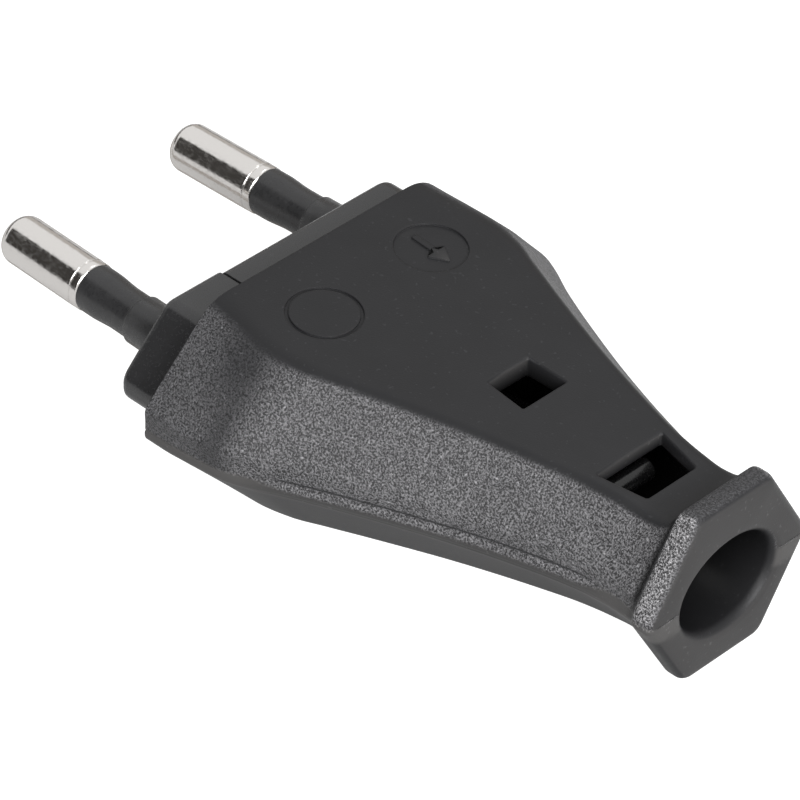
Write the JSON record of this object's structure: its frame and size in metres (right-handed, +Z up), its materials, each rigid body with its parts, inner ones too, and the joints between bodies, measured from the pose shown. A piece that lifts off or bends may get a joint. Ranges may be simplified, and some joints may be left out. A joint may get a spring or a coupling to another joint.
{
  "type": "flat two-pin mains plug",
  "caption": "Flat mains plug: a black hood tapering from a six-sided pin end to a flanged cable inlet, with sleeved round pins leaning slightly together.",
  "frame": {"origin": "middle of the resting plug's underside: centre of the bounding box in X and Y, its lowest point in Z", "axes": "+X from the pin tips towards the cable end, +Y to the right pin seen from the cable end with the marked face up, +Z up out of the marked face"},
  "size_m": [0.0644, 0.035, 0.0155],
  "materials": {
    "hood_plastic": "satin black, finely grained on the bevels",
    "insert_plastic": "satin black",
    "sleeve_plastic": "smooth black",
    "pin_metal": "polished nickel plate",
    "screw_steel": "plain zinc plate"
  },
  "bodies": {
    "root": {"housing": "hood_plastic", "carrier": "insert_plastic", "left_pin_block": "insert_plastic", "left_pin": "pin_metal", "right_pin": "pin_metal", "left_pin_sleeve": "sleeve_plastic", "right_pin_sleeve": "sleeve_plastic", "terminal_screws": "screw_steel"}
  },
  "joints": []
}
